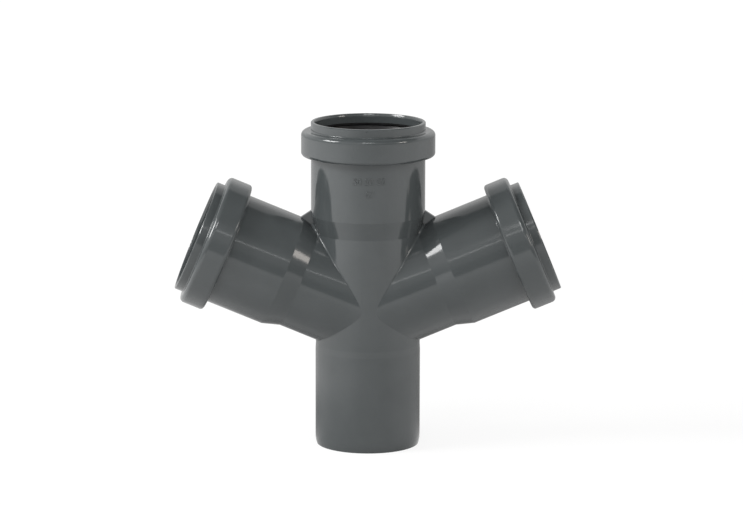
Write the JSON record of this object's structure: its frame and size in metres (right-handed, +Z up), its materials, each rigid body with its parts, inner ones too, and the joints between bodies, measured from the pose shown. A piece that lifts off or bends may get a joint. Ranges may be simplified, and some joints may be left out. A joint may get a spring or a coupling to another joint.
{
  "type": "drain cross fitting",
  "caption": "Push-fit drain cross: a plain spigot, a top socket on the same axis and two opposite branch sockets leaning up at 67.5 degrees, each with a rubber sealing ring.",
  "frame": {"origin": "centre of the spigot's flat end, which is the centre of the fitting's footprint", "axes": "+Z up the run from the spigot to the top socket, +X along the right branch, +Y away from the viewer, with the branches in the XZ plane"},
  "size_m": [0.184, 0.0636, 0.1555],
  "materials": {
    "moulded_body": "moulded grey polypropylene, satin gloss",
    "sealing_ring": "black rubber, matt"
  },
  "bodies": {
    "root": {"fitting_body": "moulded_body", "top_seal": "sealing_ring", "left_seal": "sealing_ring", "right_seal": "sealing_ring"}
  },
  "joints": []
}
